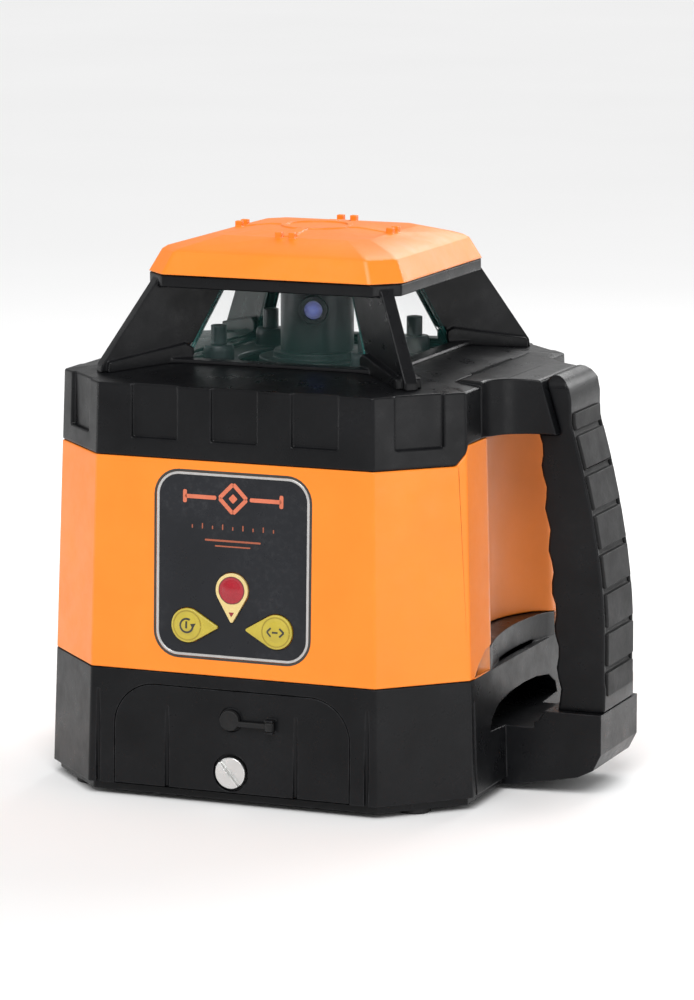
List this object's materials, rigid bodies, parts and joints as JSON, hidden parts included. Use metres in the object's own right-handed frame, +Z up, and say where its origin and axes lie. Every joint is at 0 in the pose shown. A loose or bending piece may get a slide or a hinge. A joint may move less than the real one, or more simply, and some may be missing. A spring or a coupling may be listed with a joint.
{
  "type": "rotating laser level",
  "caption": "Self-levelling rotating laser with an octagonal case, a glazed lantern over the turning head, a side handle, a key panel and a removable battery tray.",
  "frame": {"origin": "on the rotor's axis, at the face that sits on a tripod head", "axes": "+Z up along the tripod screw's axis, -Y towards the control panel, +X towards the carrying handle"},
  "size_m": [0.2058, 0.1715, 0.2054],
  "materials": {
    "black_plastic": "fine moulded texture, satin",
    "orange_plastic": "semi-gloss moulded",
    "soft_rubber": "soft grip",
    "brass": "machined",
    "steel": "plated",
    "pane_glass": "clear with a green tint",
    "optic_glass": "polished",
    "blue_lens": "coated",
    "panel_film": "printed film",
    "panel_silver": "satin",
    "key_red": "soft gloss",
    "key_yellow": "soft gloss",
    "board": "solder mask",
    "ribbon": "flat cable",
    "cast_alloy": "bead blasted",
    "motor_can": "drawn can",
    "rotor_black": "anodised satin",
    "cell_wrap": "shrink wrap",
    "vial": "filled glass"
  },
  "bodies": {
    "case": {"base_cover": "black_plastic", "handle_foot": "black_plastic", "rubber_feet": "soft_rubber", "tripod_insert": "brass", "side_insert": "brass", "main_housing": "orange_plastic", "case_gaskets": "soft_rubber", "case_screws": "steel", "top_cover": "black_plastic", "turret_floor": "rotor_black", "turret_screws": "rotor_black", "lantern_frame": "black_plastic", "window_panes": "pane_glass", "cap": "orange_plastic", "handle_core": "black_plastic", "grip_pad": "soft_rubber", "handle_screws": "steel", "panel_plate": "panel_film", "panel_rim": "panel_silver", "keypad_board": "board", "main_board": "board", "ribbon_cable": "ribbon", "chassis_posts": "steel", "chassis_plate": "cast_alloy", "chassis_screws": "steel", "outer_pivots": "steel", "levelling_motors": "motor_can", "lock_receiver": "brass", "battery_terminals": "brass"},
    "battery_pack": {"battery_door": "black_plastic", "door_seal": "soft_rubber", "battery_tray": "black_plastic", "battery_cells": "cell_wrap", "cell_springs": "steel", "charge_socket": "black_plastic"},
    "lock": {"lock_screw": "steel"},
    "plug": {"socket_plug": "soft_rubber"},
    "key_power": {"power_key": "key_red"},
    "key_left": {"left_key": "key_yellow"},
    "key_right": {"right_key": "key_yellow"},
    "gimbal": {"gimbal_ring": "cast_alloy", "inner_pivots": "steel"},
    "head": {"laser_barrel": "cast_alloy", "laser_diode": "brass", "collimator_lens": "optic_glass", "level_vials": "vial", "bearing_housing": "cast_alloy", "rotor_bearings": "steel", "drive_motor": "motor_can", "drive_belt": "soft_rubber"},
    "rotor": {"rotor_pulley": "rotor_black", "rotor_spindle": "steel", "rotor_flange": "rotor_black", "rotor_housing": "rotor_black", "prism": "optic_glass", "lens_ring": "rotor_black", "beam_lens": "blue_lens"},
    "motor_rotor": {"motor_pulley": "steel"},
    "plunger_a": {"plunger_x": "steel"},
    "plunger_b": {"plunger_y": "steel"}
  },
  "joints": [
    {"name": "battery_slide", "type": "slide", "parent": "case", "child": "battery_pack", "axis": [0, -1, 0], "range_m": [0, 0.125]},
    {"name": "lock_turn", "type": "hinge", "parent": "battery_pack", "child": "lock", "pos_m": [0, -0.0848, 0.0128], "axis": [0, -1, 0], "range_deg": [0, 90]},
    {"name": "plug_swing", "type": "hinge", "parent": "battery_pack", "child": "plug", "pos_m": [0.016, -0.0855, 0.0316], "axis": [0, 0, 1], "range_deg": [0, 100]},
    {"name": "power_press", "type": "slide", "parent": "case", "child": "key_power", "axis": [0, 0.9995, -0.0314], "range_m": [0, 0.0006], "stiffness_N_per_m": 600, "springref_m": -0.0003},
    {"name": "left_press", "type": "slide", "parent": "case", "child": "key_left", "axis": [0, 0.9995, -0.0314], "range_m": [0, 0.0006], "stiffness_N_per_m": 600, "springref_m": -0.0003},
    {"name": "right_press", "type": "slide", "parent": "case", "child": "key_right", "axis": [0, 0.9995, -0.0314], "range_m": [0, 0.0006], "stiffness_N_per_m": 600, "springref_m": -0.0003},
    {"name": "gimbal_tilt", "type": "hinge", "parent": "case", "child": "gimbal", "pos_m": [0, 0, 0.112], "axis": [1, 0, 0], "range_deg": [-5, 5]},
    {"name": "head_tilt", "type": "hinge", "parent": "gimbal", "child": "head", "pos_m": [0, 0, 0.112], "axis": [0, 1, 0], "range_deg": [-5, 5]},
    {"name": "plunger_a_slide", "type": "slide", "parent": "case", "child": "plunger_a", "axis": [0, 0, 1], "range_m": [-0.0045, 0.0045]},
    {"name": "plunger_b_slide", "type": "slide", "parent": "case", "child": "plunger_b", "axis": [0, 0, 1], "range_m": [-0.0049, 0.0049]},
    {"name": "rotor_spin", "type": "hinge", "parent": "head", "child": "rotor", "pos_m": [0, 0, 0.15], "axis": [0, 0, 1], "continuous": true},
    {"name": "motor_spin", "type": "hinge", "parent": "head", "child": "motor_rotor", "pos_m": [0.034, 0, 0.125], "axis": [0, 0, 1], "continuous": true}
  ],
  "couplings": [
    {"joint": "plunger_a_slide", "follows": "gimbal_tilt", "m_per_rad": 0.051},
    {"joint": "plunger_b_slide", "follows": "head_tilt", "m_per_rad": 0.056},
    {"joint": "motor_spin", "follows": "rotor_spin", "ratio": 2.5}
  ]
}
